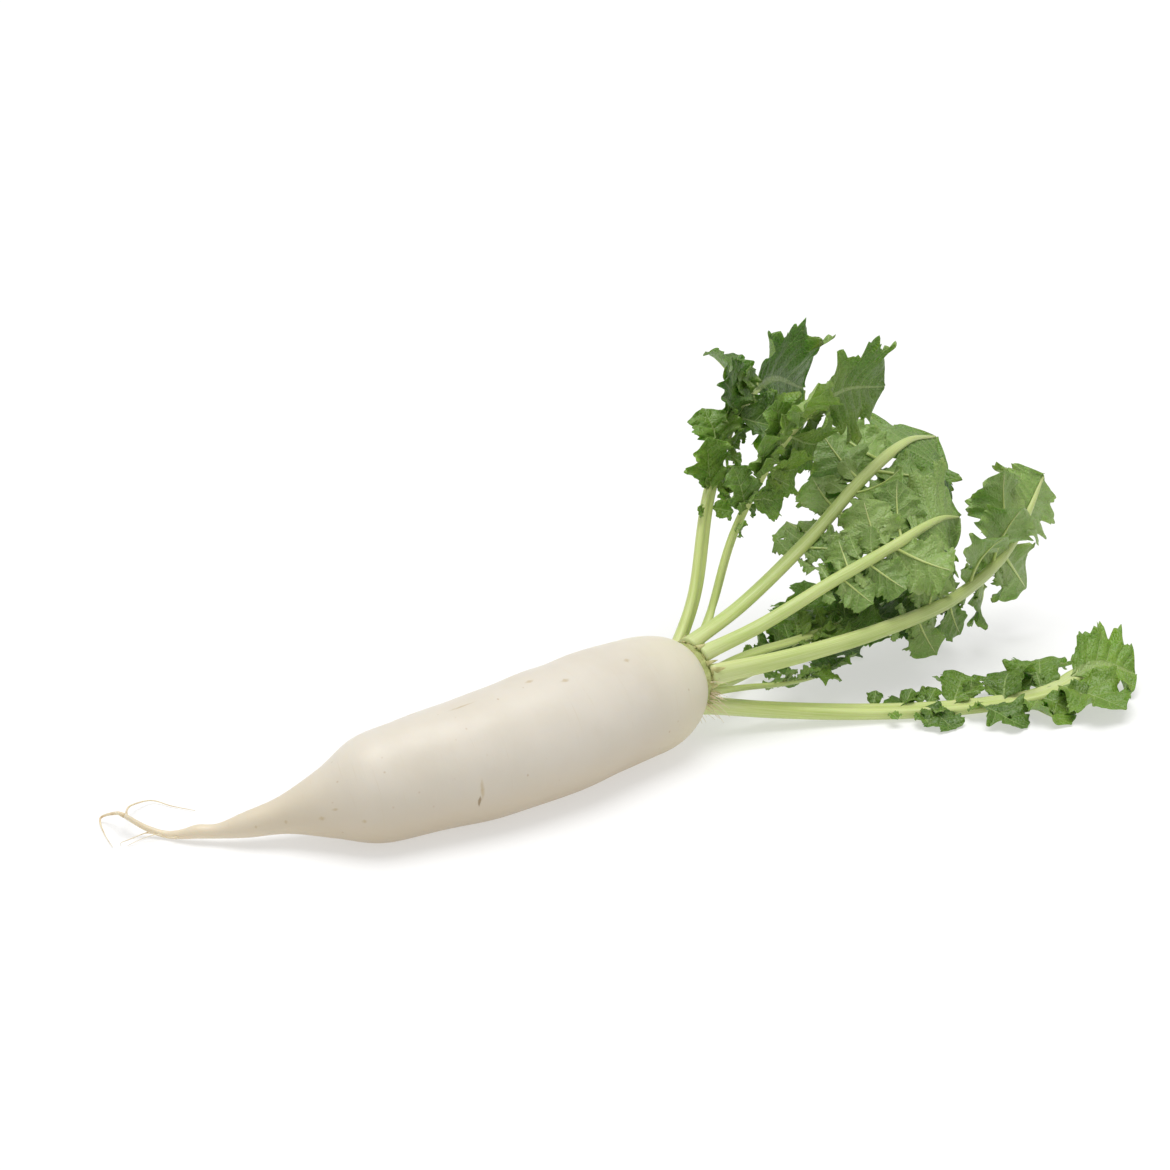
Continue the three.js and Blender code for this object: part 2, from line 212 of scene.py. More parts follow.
# Each leaf: its place round the crown in degrees and its ring there, the line of its middle, the way its end
# faces, its stalk's width, how far along it the leaflets and the end blade start, its pairs of leaflets, the
# length of the largest, the end blade's half width, and the seed of its draws
LEAVES = [
    {
        "name": "leaf_1",
        "angle": -108,
        "ring": OUTER_RING,
        "path": [
            (152, -19, 12.5), (202, -45, 6.3), (250, -73, 5.4),
            (298, -91, 6.6), (334, -100, 18), (358, -110, 9),
        ],
        "tip_face": (-0.2, -0.5, 0.8),
        "width": 15,
        "first": 0.36,
        "tip": 0.75,
        "pairs": 4,
        "leaflet": 42,
        "blade": 26,
        "seed": 1,
    },
    {
        "name": "leaf_2",
        "angle": 165,
        "ring": OUTER_RING,
        "path": [
            (165, -22, 43), (222, -31, 47), (282, -28, 50),
            (336, -15, 58), (376, 0, 74), (402, 10, 94),
        ],
        "tip_face": (0.3, 0.9, 0.1),
        "width": 11,
        "first": 0.38,
        "tip": 0.78,
        "pairs": 4,
        "leaflet": 46,
        "blade": 31,
        "seed": 25,
    },
    {
        "name": "leaf_3",
        "angle": 118,
        "ring": OUTER_RING,
        "path": [(150, -7, 61), (195, -16, 79), (240, -19, 91), (282, -14, 97), (314, -3, 89)],
        "tip_face": (0.6, 0.7, -0.35),
        "width": 9,
        "first": 0.4,
        "tip": 0.68,
        "pairs": 3,
        "leaflet": 38,
        "blade": 32,
        "seed": 3,
    },
    {
        "name": "leaf_4",
        "angle": 75,
        "ring": OUTER_RING,
        "path": [(154, 14, 66), (212, 22, 90), (268, 36, 112), (318, 50, 122), (360, 64, 114)],
        "tip_face": (0.6, 0.5, -0.6),
        "width": 11,
        "first": 0.36,
        "tip": 0.72,
        "pairs": 4,
        "leaflet": 46,
        "blade": 35,
        "seed": 21,
    },
    {
        "name": "leaf_5",
        "angle": -158,
        "ring": OUTER_RING,
        "path": [(140, -7, 25), (170, -6, 19), (200, -4, 16), (228, 2, 17)],
        "tip_face": (0, 0.2, 1),
        "width": 5,
        "first": 0.42,
        "tip": 0.7,
        "pairs": 3,
        "leaflet": 18,
        "blade": 14,
        "seed": 5,
    },
    {
        "name": "leaf_6",
        "angle": 28,
        "ring": OUTER_RING,
        "path": [(135, 34, 72), (168, 61, 117), (212, 90, 148), (262, 114, 158), (306, 130, 140)],
        "tip_face": (-0.5, -0.8, 0.3),
        "width": 11,
        "first": 0.38,
        "tip": 0.72,
        "pairs": 4,
        "leaflet": 46,
        "blade": 35,
        "seed": 6,
    },
    {
        "name": "leaf_7",
        "angle": -38,
        "ring": OUTER_RING,
        "path": [(148, 28, 14), (198, 46, 6.5), (248, 62, 4.5), (298, 76, 6.5), (336, 86, 17)],
        "tip_face": (-0.3, -0.5, 0.8),
        "width": 10,
        "first": 0.38,
        "tip": 0.72,
        "pairs": 4,
        "leaflet": 40,
        "blade": 32,
        "seed": 7,
    },
    {
        "name": "leaf_8",
        "angle": 60,
        "ring": INNER_RING,
        "path": [(138, 24, 60), (166, 35, 103), (206, 40, 146), (252, 44, 168), (296, 48, 163)],
        "tip_face": (-0.3, -0.9, 0),
        "width": 8,
        "first": 0.42,
        "tip": 0.72,
        "pairs": 4,
        "leaflet": 40,
        "blade": 31,
        "seed": 8,
    },
    {
        "name": "leaf_9",
        "angle": -90,
        "ring": INNER_RING,
        "path": [(148, 6, 38), (195, 7, 37), (245, 11, 36), (292, 19, 36), (330, 30, 32)],
        "tip_face": (-0.4, -0.6, 0.7),
        "width": 7,
        "first": 0.38,
        "tip": 0.7,
        "pairs": 4,
        "leaflet": 38,
        "blade": 28,
        "seed": 9,
    },
]

# Fine roots: the thread that the tail ends in, a long one that grows from its tip, and short ones
TAIL_THREAD = [(-213, 92, 12), (-212, 103, 9), (-215, 115, 2.5), (-221, 101, 1), (-226, 83, 1)]
LONG_THREAD = [(-212, 91, 11), (-205, 104, 8), (-196, 114, 5), (-182, 118, 2), (-176, 107, 1), (-169, 94, 1)]
THREAD_SIDES = (10, 8)
HAIR_POINTS = 40
TAIL_HAIRS = 3
TAIL_HAIR_SEED = 51
TAIL_HAIR_RANGES = {
    "place": (0.03, 0.40),
    "heading": (2.0, 4.4),
    "length": (14, 36),
    "curl": (-0.8, 0.8),
    "waver": (-0.12, 0.12),
    "pitch": (5, 9),
    "lift": (1, 7),
}
CROWN_HAIRS = 44
CROWN_HAIR_SEED = 61
CROWN_HAIR_RANGES = {
    "turn": (170, 350),
    "depth": (5, 9),
    "ring": (19, 20.5),
    "forward": (0.3, 1),
    "outward": (0.2, 1),
    "length": (5, 13),
    "curl": (-0.6, 0.6),
}
HAIR_SAG = 0.25
TAIL_ROOM = 8  # how far past the solids' box a fine root may reach at the tail

# Where side roots once grew: distance from the tail's tip, place round the root in degrees, then the mark's
# length round the root from its middle, its width along it from its middle and its depth
ROOT_SCARS = [
    (183.8, 104, 4.6, 1.3, 0.5),
    (262, -112, 3.0, 0.8, 0.5),
    (214, -70, 2.2, 0.7, 0.4),
    (150, -128, 2.6, 0.8, 0.4),
]
# Tan marks, listed the same way: the streak above the first scar, rubbed patches along the root, and smudges
# near the tail
TAN_MARKS = [
    (185.2, 92, 8.5, 1.5, 0.2),
    (235, 4, 1.8, 3.4, 0.1),
    (252, 19, 1.6, 4.2, 0.1),
    (297, 22, 2.2, 2.8, 0.1),
    (193, 3, 1.0, 11.0, 0.05),
    (170, -20, 1.2, 6.0, 0.1),
    (246, -60, 2.0, 4.0, 0.1),
    (92, 87, 5.0, 1.4, 0.1),
    (76, 84, 5.0, 1.2, 0.05),
    (111, 88, 3.0, 2.4, 0.1),
    (129, 98, 2.0, 1.6, 0.1),
    (118, 76, 1.6, 2.2, 0.1),
]
MARK_RADIUS = 34  # of the root where the marks are
MARK_STRAY = 1.6  # how unevenly a mark's outline runs

# Camera: 25 degrees above the table as seen from the part's origin, on the tail's side of it
CAMERA_AT = (-0.848, -1.092, 0.650)
CAMERA_LOOK = (0.5832, 0.7290, -0.3584)
LENS = 85
SENSOR = 36

# Light: one wide soft lamp almost straight above, and a dim white sky
KEY_LOOK = (0.0, -0.05, -1.0)
KEY_POWER = 2.3
KEY_SPREAD = 45
SKY = 0.5
FLOOR_REACH = 30.0  # in metres


# Curves and draws, the same as the solids use
def curve(points, t):
    """Catmull-Rom through the points, with t from 0 at the first to 1 at the last."""
    knots = np.array(points, float)
    padded = np.vstack([2 * knots[0] - knots[1], knots, 2 * knots[-1] - knots[-2]])
    place = np.clip(t, 0, 1) * (len(knots) - 1)
    first = np.minimum(place.astype(int), len(knots) - 2)
    w = (place - first)[..., None]
    a, b, c, d = (padded[first + i] for i in range(4))
    leave, arrive = (c - a) / 2, (d - b) / 2
    return b + leave * w + (3 * (c - b) - 2 * leave - arrive) * w**2 + (2 * (b - c) + leave + arrive) * w**3


def unit(v):
    return v / np.linalg.norm(v, axis=-1, keepdims=True)


def draw(seed, k, limits):
    x = np.sin(seed * 127.1 + k * 311.7) * 43758.5453
    return limits[0] + (limits[1] - limits[0]) * (x - np.floor(x))


def draws(seed, ranges):
    """One draw for each named range."""
    return {name: draw(seed, k + 1, limits) for k, (name, limits) in enumerate(ranges.items())}


def draws_of(k, seed, ranges):
    """One draw for each named range of the piece with that number, each range with a seed of its own."""
    return {name: draw(seed + i, k, limits) for i, (name, limits) in enumerate(ranges.items())}


def ripple(u, v, seed, count=5, low=1.0, high=3.0):
    """A smooth uneven surface of about -1 to 1, from a few waves in seeded directions."""
    total = 0
    for k in range(count):
        turn = draw(seed, 3 * k, (0, math.tau))
        pitch = draw(seed, 3 * k + 1, (low, high))
        phase = draw(seed, 3 * k + 2, (0, math.tau))
        total = total + np.sin(pitch * (u * math.cos(turn) + v * math.sin(turn)) + phase)
    return total / count


# Meshes
def grid_faces(rows, columns, closed):
    """Quads of a grid of points, joined round its columns where it is closed."""
    across = columns if closed else columns - 1
    i, j = np.meshgrid(np.arange(rows - 1), np.arange(across), indexing="ij")
    i, j = i.ravel(), j.ravel()
    k = (j + 1) % columns
    return np.stack([i * columns + j, i * columns + k, (i + 1) * columns + k, (i + 1) * columns + j], axis=1)


def closed_faces(rows, sides):
    """Faces of rings that are closed at both ends, round two points that come after the rings' own."""
    first, last = rows * sides, rows * sides + 1
    end = (rows - 1) * sides
    faces = list(grid_faces(rows, sides, True))
    faces += [(first, (j + 1) % sides, j) for j in range(sides)]
    faces += [(last, end + j, end + (j + 1) % sides) for j in range(sides)]
    return faces


class Body:
    """Collects points, faces and per-point values for one mesh."""

    def __init__(self):
        self.points = []
        self.faces = []
        self.values = {}
        self.count = 0

    def add(self, points, faces, **values):
        points = points.reshape(-1, 3)
        self.points.append(points)
        self.faces.extend((np.asarray(f) + self.count).tolist() for f in faces)
        for name, value in values.items():
            self.values.setdefault(name, []).append(np.asarray(value, float).reshape(len(points), -1))
        self.count += len(points)

    def make(self, name, material):
        mesh = bpy.data.meshes.new(name)
        points = np.concatenate(self.points) * MM
        mesh.from_pydata(points.tolist(), [], self.faces)
        mesh.update()
        for key, parts in self.values.items():
            data = np.concatenate(parts)
            kind = "FLOAT" if data.shape[1] == 1 else "FLOAT_VECTOR"
            layer = mesh.attributes.new(key, kind, "POINT")
            layer.data.foreach_set("value" if kind == "FLOAT" else "vector", data.ravel())
        mesh.shade_smooth()
        mesh.materials.append(material)
        piece = bpy.data.objects.new(name, mesh)
        bpy.context.scene.collection.objects.link(piece)
        return piece


def tube(body, centres, across, face, half_x, half_z, sides, **values):
    """A closed tube of rings round the centres, with a fan of faces over each end."""
    turn = np.linspace(0, math.tau, sides, endpoint=False)
    x = half_x(turn)
    z = half_z(turn)
    rings = centres[:, None] + across[:, None] * x[..., None] + face[:, None] * z[..., None]
    rows = len(centres)
    points = np.vstack([rings.reshape(-1, 3), centres[:1], centres[-1:]])
    spread = {}
    for name, value in values.items():
        value = np.broadcast_to(value, (rows, sides))
        spread[name] = np.concatenate([value.ravel(), value[0, :1], value[-1, :1]])
    body.add(points, closed_faces(rows, sides), **spread)


def rod(body, path, radius, sides=8, **values):
    """A thin round tube along a path, with a radius for each of its points."""
    along = unit(np.gradient(path, axis=0))
    helper = np.array([0.0, 0.0, 1.0]) if abs(along[0][2]) < 0.9 else np.array([1.0, 0.0, 0.0])
    across = unit(np.cross(along, helper))
    face = np.cross(across, along)

    def wide(turn):
        return radius[:, None] * np.cos(turn)

    def deep(turn):
        return -radius[:, None] * np.sin(turn)

    tube(body, path, across, face, wide, deep, sides, **values)


# Stalk and blade rules, the same as the solids use, with finer relief on top
def stalk_frame(leaf, t):
    turn = math.radians(leaf["angle"])
    outward = np.array([0, math.cos(turn), math.sin(turn)])
    inside = CROWN_FRONT + outward * leaf["ring"] - np.array([STALK_START, 0, 0])
    points = [inside, *leaf["path"]]
    t = np.asarray(t, float)
    point = curve(points, t)
    along = unit(curve(points, t + 1e-4) - curve(points, t - 1e-4))
    tip_face = unit(np.array(leaf["tip_face"], float))
    face = -outward + (tip_face + outward) * t[..., None]
    face = unit(face - along * np.sum(face * along, axis=-1, keepdims=True))
    return point, along, face, np.cross(along, face)


def half_width(leaf, t):
    flare = 1 + STALK_FLARE * np.exp(-t / FLARE_REACH)
    fade = 1 - MIDRIB_TAPER * np.maximum(0, (t - leaf["tip"]) / (1 - leaf["tip"]))
    return leaf["width"] / 2 * (1 - STALK_TAPER * t) * flare * fade


def outline(s):
    """The solid's outline, rounded over at the tip and narrowed where it leaves the stalk."""
    full = np.maximum(NARROWEST, np.sin(math.pi * s**1.25).clip(0) ** 0.7)
    return full * np.clip((1 - s) / TIP_ROUND, 0.03, 1) ** 0.5 * np.clip(s / BASE_REACH, 0.12, 1) ** 0.7


def tooth(s, teeth, seed, c):
    """The solid's large teeth, rounded, with small sharp ones of uneven size along them."""
    place = s * teeth
    number = np.floor(place)
    side = np.where(c > 0, 40, 60)
    size = draw(seed, number + side, TOOTH_SIZE)
    large = -size * np.cos(math.tau * (place - number))
    small = place * SMALL_TEETH + 0.5
    number = np.floor(small)
    along = small - number
    rise = np.where(along < TOOTH_PEAK, along / TOOTH_PEAK, (1 - along) / (1 - TOOTH_PEAK))
    return large + draw(seed, number + 5 * side, SMALL_TOOTH) * (2 * rise - 1) * outline(s)


def fold_height(c):
    """How a folded blade rises from its middle to its edges, rounded where it turns."""
    return np.sqrt(c * c + FOLD_ROUND) - FOLD_DROP


def wave(s, c, seed):
    phase = np.where(c > 0, draw(seed, 21, (0, 1)), draw(seed, 22, (0, 1)))
    return c * c * np.sin(math.tau * (WAVES * s + phase))


def ruffle(s, c, seed):
    """Short uneven waves close to the edge, on top of the long ones that the solid has too."""
    phase = np.where(c > 0, draw(seed, 23, (0, 1)), draw(seed, 24, (0, 1)))
    slow, quick = (np.sin(math.tau * (count * s + phase * count)) for count in RUFFLES)
    return RUFFLE * np.abs(c) ** 3 * (slow + 0.7 * quick)


def settle(points):
    above = points[..., 2] - LOWEST_BLADE
    points[..., 2] = LOWEST_BLADE + (above + np.hypot(above, SETTLE_ROUND)) / 2
    return points


def vein_place(s, c, veins, seed):
    """Counts side veins along a blade: one runs wherever the count is whole. They lean forward and stray."""
    return veins * (s + VEIN_LEAN * (1 - np.abs(c))) + VEIN_STRAY * ripple(4 * s, 2 * c, seed + 0.2)


def vein_relief(s, c, place, half, seed):
    """The blade is sunk along its veins, and swells unevenly between them."""
    forked = place - 0.5 * np.clip((np.abs(c) - FORK_START) / (1 - FORK_START), 0, 1)
    off, fork_off = (np.abs(count - np.round(count)) for count in (place, forked))
    reach = np.minimum(1, 5 * np.abs(c)) * (1 - c**4)
    sunk = np.maximum(np.exp(-((off / 0.1) ** 2)), 0.6 * np.exp(-((fork_off / 0.08) ** 2)))
    swell = np.sin(math.pi * off) ** 2 * (0.7 + 0.6 * ripple(9 * s, 4 * c, seed + 0.3))
    puckered = PUCKER * ripple(16 * s, 8 * c, seed + 0.5, low=1.2, high=3) * np.abs(c)
    return (reach * (BULGE * swell - VEIN_SINK * sunk) + puckered) * np.minimum(1, half / RELIEF_WIDTH)


def add_blade(body, middle, face, s, c, place, tone, off_rib):
    """A thin closed blade: an upper and a lower face of the same grid, joined round the edge."""
    rows, columns = s.shape
    thick = BLADE_THICKNESS / 2 * (1 - EDGE_THINNING * np.abs(c) ** 6)[..., None]
    upper = middle + face * thick
    lower = middle - face * thick
    count = rows * columns
    top = grid_faces(rows, columns, False)
    across = np.arange(columns - 1)
    down = np.arange(rows - 1) * columns
    rim = [
        np.stack([across, across + 1], 1),
        np.stack([count - 1 - across, count - 2 - across], 1),
        np.stack([down + columns - 1, down + 2 * columns - 1], 1),
        np.stack([down + columns, down], 1),
    ]
    rim = np.concatenate(rim)
    rim = np.stack([rim[:, 0], rim[:, 0] + count, rim[:, 1] + count, rim[:, 1]], axis=1)
    faces = np.concatenate([top, top[:, ::-1] + count, rim])
    pattern = np.stack([place, c, np.broadcast_to(tone, s.shape)], axis=-1)
    body.add(
        np.concatenate([upper.reshape(-1, 3), lower.reshape(-1, 3)]),
        faces,
        upper=np.repeat([1.0, 0.0], count),
        pattern=np.concatenate([pattern.reshape(-1, 3)] * 2),
        off_rib=np.concatenate([np.broadcast_to(off_rib, s.shape).ravel()] * 2),
    )


def blade_grid(size):
    s, c = np.meshgrid(np.linspace(0, 1, size[0] + 1), np.linspace(-1, 1, size[1] + 1), indexing="ij")
    return s, c


def add_leaflet(blades, stalk, leaf, pair, side):
    seed = leaf["seed"] + 0.37 * (pair + 1) + (0.11 if side > 0 else 0)
    d = draws(seed, LEAFLET_RANGES)
    reach = (pair + 0.5 + PAIR_STAGGER * side + d["shift"]) / leaf["pairs"]
    t = leaf["first"] + (leaf["tip"] - 0.01 - leaf["first"]) * reach
    point, along, face, across = stalk_frame(leaf, t)
    length = leaf["leaflet"] * (SMALLEST_LEAFLET + (1 - SMALLEST_LEAFLET) * reach) * d["size"]

    flat = across * side * math.cos(d["sweep"]) + along * math.sin(d["sweep"])
    ahead = flat * math.cos(d["lift"]) + face * math.sin(d["lift"])
    level = face * math.cos(d["lift"]) - flat * math.sin(d["lift"])
    up = level * math.cos(d["roll"]) + np.cross(ahead, level) * math.sin(d["roll"])
    up = up + ahead * (ahead @ level) * (1 - math.cos(d["roll"]))
    beside = np.cross(ahead, up)
    start = point + face * 0.15 * half_width(leaf, t)

    def place(s, c):
        bend = d["curl"] * s
        forward = (length * np.sin(bend) / d["curl"])[..., None]
        fall = (length * (1 - np.cos(bend)) / d["curl"])[..., None]
        normal = up * np.cos(bend)[..., None] + ahead * np.sin(bend)[..., None]
        half = length * d["breadth"] * outline(s)
        out = half * c * (1 + c * c * tooth(s, LEAFLET_TEETH, seed, c))
        rise = half * (d["fold"] * fold_height(c) + LEAFLET_WAVE * wave(s, c, seed) + ruffle(s, c, seed))
        rise = rise + vein_relief(s, c, vein_place(s, c, LEAFLET_VEINS, seed), half, seed)
        middle = start + ahead * forward - up * fall + beside * out[..., None] + normal * rise[..., None]
        return settle(middle), normal, half

    def rib_radius(s):
        return RIB_WIDTH * length * d["breadth"] * (1 - s) ** RIB_TAPER + RIB_TIP

    s, c = blade_grid(LEAFLET_GRID)
    middle, normal, half = place(s, c)
    veins = vein_place(s, c, LEAFLET_VEINS, seed)
    tone = draw(seed, 11, LEAFLET_TONE)
    add_blade(blades, middle, normal, s, c, veins, tone, np.abs(c) * half / rib_radius(s))

    s = np.linspace(0, RIB_END, RIB_RINGS)
    middle, normal, _ = place(s, np.zeros_like(s))
    radius = rib_radius(s)
    rib = middle - normal * (RIB_SET * radius)[:, None]
    rib[:, 2] = np.maximum(rib[:, 2], radius + 0.1)
    rod(stalk, rib, radius, sides=10, along=s[:, None] * 0.3 + 0.6, lower=1.0, around_x=0.0, around_z=0.0)


def add_lobes(blades, leaf):
    """Small frilled lobes that stand on the stalk between the leaflets."""
    count = 2 * leaf["pairs"]
    for k in range(count):
        for side in (-1, 1):
            seed = leaf["seed"] + 0.53 + 0.19 * k + (0.07 if side > 0 else 0)
            d = draws(seed, LOBE_RANGES)
            place = (k - 0.3 + d["shift"] + 0.2 * side) / count
            t = leaf["first"] + (leaf["tip"] - leaf["first"]) * place
            point, along, face, across = stalk_frame(leaf, t)
            length = d["length"] * (0.6 + 0.4 * place) * leaf["leaflet"] / FULL_LEAFLET
            flat = across * side * math.cos(d["sweep"]) + along * math.sin(d["sweep"])
            ahead = flat * math.cos(d["lift"]) + face * math.sin(d["lift"])
            up = face * math.cos(d["lift"]) - flat * math.sin(d["lift"])
            beside = np.cross(ahead, up)
            start = point + across * side * LOBE_START * half_width(leaf, t)
            s, c = blade_grid(LOBE_GRID)
            half = length * d["breadth"] * outline(s)
            out = half * c * (1 + c * c * tooth(s, LOBE_TEETH, seed, c))
            fold = LOBE_FOLD * np.sqrt(c * c + FOLD_ROUND)
            rise = half * (fold + LOBE_WAVE * wave(s, c, seed) + 2 * ruffle(s, c, seed))
            rise = rise - d["fall"] * length * s * s
            middle = start + ahead * (length * s)[..., None] + beside * out[..., None]
            middle = settle(middle + up * rise[..., None])
            veins = vein_place(s, c, LOBE_VEINS, seed)
            tone = draw(seed, 11, LOBE_TONE)
            add_blade(blades, middle, up, s, c, veins, tone, np.abs(c) * half / LOBE_RIB)


def add_end_blade(blades, leaf):
    seed = leaf["seed"] + 0.77
    fold = draw(seed, 8, END_FOLD)
    s, c = blade_grid(END_GRID)
    t = leaf["tip"] + (1 - leaf["tip"]) * s
    point, _, face, across = stalk_frame(leaf, t)
    rib = half_width(leaf, t)
    half = leaf["blade"] * outline(s)
    rise = half * (fold * fold_height(c) + END_WAVE * wave(s, c, seed) + ruffle(s, c, seed)) + 0.2 * rib
    rise = rise + END_LUMP * ripple(7 * s, 3 * c, seed + 0.7) * np.abs(c)
    veins = vein_place(s, c, END_VEINS, seed)
    rise = rise + vein_relief(s, c, veins, half, seed)
    out = half * c * (1 + np.abs(c) ** 2 * tooth(s, END_TEETH, seed, c))
    middle = settle(point + across * out[..., None] + face * rise[..., None])
    add_blade(blades, middle, face, s, c, veins, draw(seed, 11, LEAFLET_TONE), np.abs(c) * half / rib)


def add_stalk(stalk, leaf):
    end = leaf["tip"] + (1 - leaf["tip"]) * STALK_END
    t = np.linspace(0, end, STALK_RINGS)
    point, _, face, across = stalk_frame(leaf, t)
    half = half_width(leaf, t)[:, None]
    sunk = 1 - RIB_SINK * np.clip((t[:, None] - leaf["tip"]) / (RIB_UNDER * (1 - leaf["tip"])), 0, 1)

    def ridged(turn):
        return 1 + RIDGE_HEIGHT * np.cos(STALK_RIDGES * turn)

    def wide(turn):
        return half * np.sin(turn) * ridged(turn)

    def deep(turn):
        z = np.cos(turn)
        channel = STALK_CHANNEL - STALK_GROOVE * np.exp(-((np.sin(turn) / GROOVE_WIDTH) ** 2))
        return half * STALK_DEPTH * np.where(z > 0, z * channel * sunk, z) * ridged(turn)

    turn = np.linspace(0, math.tau, STALK_SIDES, endpoint=False)
    turned = {"around_x": np.sin(turn)[None], "around_z": np.cos(turn)[None]}
    lower = 0.5 - 0.5 * turned["around_z"]
    tube(stalk, point, across, face, wide, deep, STALK_SIDES, along=t[:, None], lower=lower, **turned)


# Materials
def new_material(name):
    material = bpy.data.materials.new(name)
    material.use_nodes = True
    tree = material.node_tree
    return material, tree, tree.nodes["Principled BSDF"]


class Nodes:
    """Short calls for the nodes that the materials here are made of."""

    def __init__(self, tree):
        self.tree = tree

    def link(self, source, target):
        if isinstance(source, bpy.types.NodeSocket):
            self.tree.links.new(source, target)
        else:
            target.default_value = source

    def attribute(self, name):
        node = self.tree.nodes.new("ShaderNodeAttribute")
        node.attribute_name = name
        return node

    def position(self):
        return self.tree.nodes.new("ShaderNodeTexCoord").outputs["Object"]

    def split(self, vector):
        node = self.tree.nodes.new("ShaderNodeSeparateXYZ")
        self.link(vector, node.inputs[0])
        return node.outputs

    def join(self, x, y, z):
        node = self.tree.nodes.new("ShaderNodeCombineXYZ")
        for value, socket in zip((x, y, z), node.inputs):
            self.link(value, socket)
        return node.outputs[0]

    def math(self, operation, a, b=0.0, c=0.0):
        node = self.tree.nodes.new("ShaderNodeMath")
        node.operation = operation
        for value, socket in zip((a, b, c), node.inputs):
            self.link(value, socket)
        return node.outputs[0]

    def times(self, a, b):
        return self.math("MULTIPLY", a, b)

    def plus(self, a, b):
        return self.math("ADD", a, b)

    def minus(self, a, b):
        return self.math("SUBTRACT", a, b)

    def stretch(self, values, scales):
        """A vector of three values, each times its own scale."""
        return self.join(*(self.times(value, scale) for value, scale in zip(values, scales)))

    def ramp(self, value, low, high, to_low=0.0, to_high=1.0):
        node = self.tree.nodes.new("ShaderNodeMapRange")
        node.interpolation_type = "SMOOTHSTEP"
        for source, socket in zip((value, low, high, to_low, to_high), node.inputs):
            self.link(source, socket)
        return node.outputs[0]

    def linear(self, value, low, high):
        node = self.tree.nodes.new("ShaderNodeMapRange")
        for source, socket in zip((value, low, high), node.inputs):
            self.link(source, socket)
        return node.outputs[0]

    def vein(self, place, width):
        """1 where the count is whole, and 0 from that width on either side."""
        off = self.math("ABSOLUTE", self.minus(place, self.math("ROUND", place)))
        return self.ramp(self.minus(1.0, self.math("DIVIDE", off, width)), 0.0, 0.8)

    def noise(self, vector, scale, detail=3.0, roughness=0.55):
        node = self.tree.nodes.new("ShaderNodeTexNoise")
        self.link(vector, node.inputs["Vector"])
        node.inputs["Scale"].default_value = scale
        node.inputs["Detail"].default_value = detail
        node.inputs["Roughness"].default_value = roughness
        return node.outputs["Fac"]

    def cells(self, vector, scale, feature="F1"):
        node = self.tree.nodes.new("ShaderNodeTexVoronoi")
        node.feature = feature
        self.link(vector, node.inputs["Vector"])
        node.inputs["Scale"].default_value = scale
        return node

    def mix(self, share, a, b):
        node = self.tree.nodes.new("ShaderNodeMix")
        node.data_type = "RGBA"
        self.link(share, node.inputs[0])
        for value, socket in ((a, node.inputs[6]), (b, node.inputs[7])):
            self.link((*value, 1) if isinstance(value, tuple) else value, socket)
        return node.outputs[2]

    def bump(self, height, strength, distance):
        node = self.tree.nodes.new("ShaderNodeBump")
        self.link(height, node.inputs["Height"])
        node.inputs["Strength"].default_value = strength
        node.inputs["Distance"].default_value = distance
        return node.outputs["Normal"]


def set_subsurface(shader, weight, radius, scale):
    shader.inputs["Subsurface Weight"].default_value = weight
    shader.inputs["Subsurface Radius"].default_value = radius
    shader.inputs["Subsurface Scale"].default_value = scale


